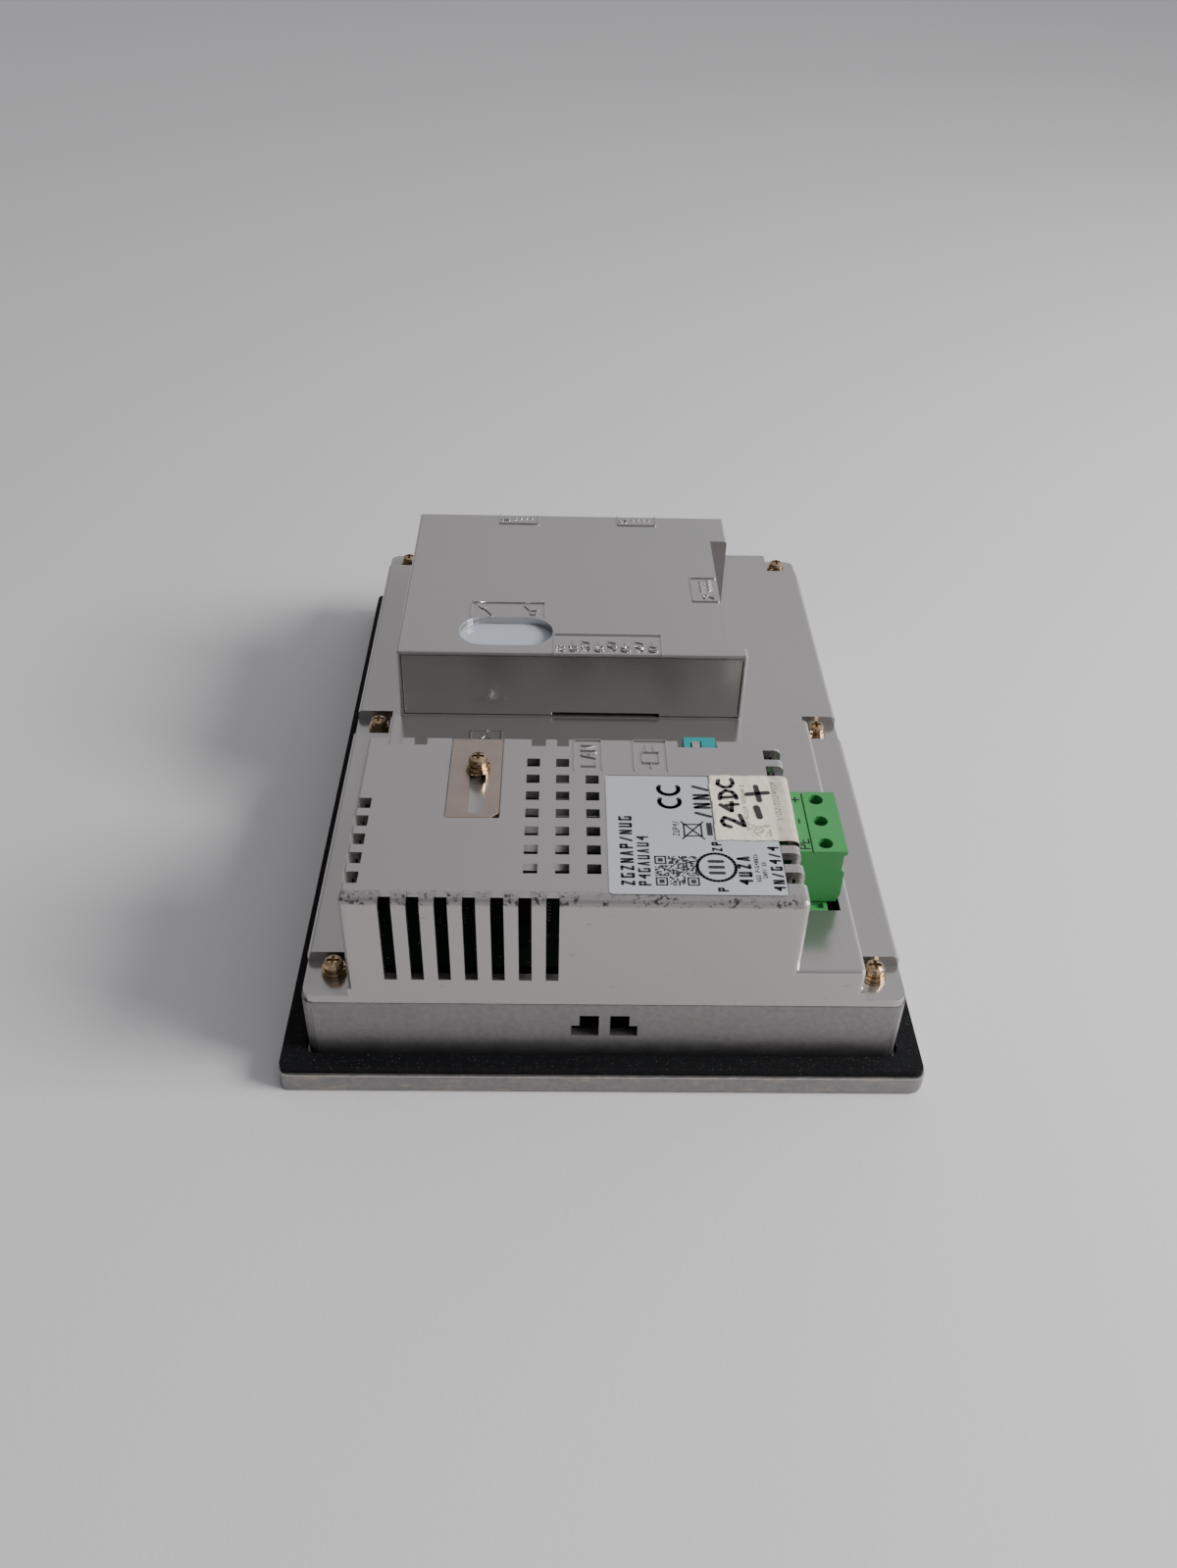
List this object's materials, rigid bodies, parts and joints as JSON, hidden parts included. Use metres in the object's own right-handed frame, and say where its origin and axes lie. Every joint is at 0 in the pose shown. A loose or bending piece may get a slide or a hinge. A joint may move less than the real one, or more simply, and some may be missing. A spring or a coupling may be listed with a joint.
{
  "type": "hmi touch panel",
  "caption": "Panel-mount touch screen terminal with cast front frame, gasket, silver rear housing with two boxes, vents, sockets, sliding cable lock plate and pluggable power terminal.",
  "frame": {"origin": "centre of the bezel outline on its front face, which lies on the ground", "axes": "+Z from the screen to the back of the terminal, +Y along the long side of the bezel towards the serial connector box, +X towards the power terminal"},
  "size_m": [0.1466, 0.205, 0.0586],
  "materials": {
    "cast_metal": "die-cast, satin silver paint",
    "silver_shell": "satin silver paint on moulded plastic",
    "display_panel": "steel-framed liquid crystal panel",
    "gasket": "matt foam rubber",
    "overlay": "textured film",
    "screen_glass": "gloss",
    "tin_plate": "bright tin plate",
    "circuit_board": "solder mask",
    "black_plastic": "satin",
    "teal_plastic": "gloss",
    "green_plastic": "satin",
    "nickel": "nickel plate",
    "screw_plate": "yellowed zinc plate",
    "label_film": "printed film",
    "tape": "crepe paper",
    "pale_film": "satin film",
    "flex_film": "polyimide film",
    "heat_sink_metal": "extruded"
  },
  "bodies": {
    "panel": {"front_frame": "cast_metal", "rear_housing": "silver_shell", "panel_gasket": "gasket", "front_overlay": "overlay", "touch_glass": "screen_glass", "lcd_module": "display_panel", "lan_jack": "tin_plate", "usb_host_port": "tin_plate", "usb_device_port": "tin_plate", "aux_port_shell": "tin_plate", "com_connector_1": "tin_plate", "com_connector_2": "tin_plate", "com_connector_3": "tin_plate", "coin_cell": "tin_plate", "board_standoff_1": "tin_plate", "board_standoff_2": "tin_plate", "board_standoff_3": "tin_plate", "board_standoff_4": "tin_plate", "main_board": "circuit_board", "carrier_board": "circuit_board", "power_capacitor": "black_plastic", "speaker": "black_plastic", "aux_port_insert": "teal_plastic", "terminal_header": "green_plastic", "lock_spring_washer": "screw_plate", "lock_flat_washer": "screw_plate", "housing_screw_1": "screw_plate", "housing_screw_2": "screw_plate", "housing_screw_3": "screw_plate", "housing_screw_4": "screw_plate", "housing_screw_5": "screw_plate", "housing_screw_6": "screw_plate", "housing_spring_washer_1": "screw_plate", "housing_spring_washer_2": "screw_plate", "housing_spring_washer_3": "screw_plate", "housing_spring_washer_4": "screw_plate", "housing_spring_washer_5": "screw_plate", "housing_spring_washer_6": "screw_plate", "housing_flat_washer_1": "screw_plate", "housing_flat_washer_2": "screw_plate", "housing_flat_washer_3": "screw_plate", "housing_flat_washer_4": "screw_plate", "housing_flat_washer_5": "screw_plate", "housing_flat_washer_6": "screw_plate", "rating_label": "label_film", "marking_tape": "tape", "audio_window_film": "pale_film", "lcd_flat_cable": "flex_film", "heat_sink": "heat_sink_metal"},
    "lock_plate_body": {"lock_plate": "nickel"},
    "lock_screw_body": {"lock_screw": "screw_plate"},
    "power_plug": {"terminal_plug": "green_plastic"},
    "pole_screw_1": {"terminal_screw_1": "nickel"},
    "pole_screw_2": {"terminal_screw_2": "nickel"},
    "pole_screw_3": {"terminal_screw_3": "nickel"},
    "pole_clamp_1": {"wire_clamp_1": "tin_plate"},
    "pole_clamp_2": {"wire_clamp_2": "tin_plate"},
    "pole_clamp_3": {"wire_clamp_3": "tin_plate"},
    "option_panel": {"option_cover": "silver_shell"}
  },
  "joints": [
    {"name": "lock_plate_slide", "type": "slide", "parent": "panel", "child": "lock_plate_body", "axis": [0, 1, 0], "range_m": [0, 0.014]},
    {"name": "lock_screw_turn", "type": "hinge", "parent": "panel", "child": "lock_screw_body", "pos_m": [-0.02925, -0.0535, 0.056], "axis": [0, 0, 1], "range_deg": [0, 540]},
    {"name": "power_plug_pull", "type": "slide", "parent": "panel", "child": "power_plug", "axis": [1, 0, 0], "range_m": [0, 0.014]},
    {"name": "option_cover_pull", "type": "slide", "parent": "panel", "child": "option_panel", "axis": [0, -1, 0], "range_m": [0, 0.02]},
    {"name": "pole_screw_1_turn", "type": "hinge", "parent": "power_plug", "child": "pole_screw_1", "pos_m": [0.04855, -0.07272, 0.045], "axis": [0, 0, 1], "range_deg": [0, 1800]},
    {"name": "pole_clamp_1_drop", "type": "slide", "parent": "power_plug", "child": "pole_clamp_1", "axis": [0, 0, -1], "range_m": [0, 0.0025]},
    {"name": "pole_screw_2_turn", "type": "hinge", "parent": "power_plug", "child": "pole_screw_2", "pos_m": [0.04855, -0.0651, 0.045], "axis": [0, 0, 1], "range_deg": [0, 1800]},
    {"name": "pole_clamp_2_drop", "type": "slide", "parent": "power_plug", "child": "pole_clamp_2", "axis": [0, 0, -1], "range_m": [0, 0.0025]},
    {"name": "pole_screw_3_turn", "type": "hinge", "parent": "power_plug", "child": "pole_screw_3", "pos_m": [0.04855, -0.05748, 0.045], "axis": [0, 0, 1], "range_deg": [0, 1800]},
    {"name": "pole_clamp_3_drop", "type": "slide", "parent": "power_plug", "child": "pole_clamp_3", "axis": [0, 0, -1], "range_m": [0, 0.0025]}
  ],
  "couplings": [
    {"joint": "pole_screw_1_turn", "follows": "pole_clamp_1_drop", "rad_per_m": 12566},
    {"joint": "pole_screw_2_turn", "follows": "pole_clamp_2_drop", "rad_per_m": 12566},
    {"joint": "pole_screw_3_turn", "follows": "pole_clamp_3_drop", "rad_per_m": 12566}
  ]
}
